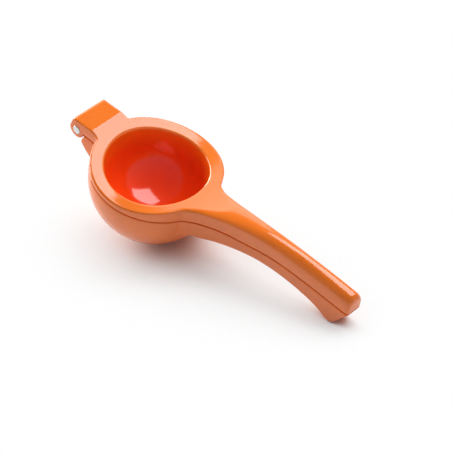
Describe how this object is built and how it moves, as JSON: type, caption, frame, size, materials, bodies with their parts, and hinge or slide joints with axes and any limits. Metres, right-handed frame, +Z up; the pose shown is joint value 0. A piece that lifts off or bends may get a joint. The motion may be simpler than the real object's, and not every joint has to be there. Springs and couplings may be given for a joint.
{
  "type": "hinged lemon squeezer",
  "caption": "Hand lemon squeezer: a press arm with a hollow dome closes into a bowl arm with juice holes, on a cross pin at the end away from the curved handles.",
  "frame": {"origin": "on the table under the middle of the closed tool's length and width", "axes": "+X from the hinge to the handle tips, +Z up from the table that the bowl and the heel rest on, Y along the hinge pin"},
  "size_m": [0.2132, 0.08, 0.0694],
  "materials": {
    "orange_enamel": "glossy fired enamel on cast aluminium",
    "pin_steel": "turned steel with a satin end"
  },
  "bodies": {
    "bowl_side": {"bowl_arm": "orange_enamel"},
    "press_side": {"press_arm": "orange_enamel", "hinge_pin": "pin_steel"}
  },
  "joints": [
    {"name": "hinge", "type": "hinge", "parent": "bowl_side", "child": "press_side", "pos_m": [-0.1011, 0, 0.06141], "axis": [0, -1, 0], "range_deg": [0, 150]}
  ]
}
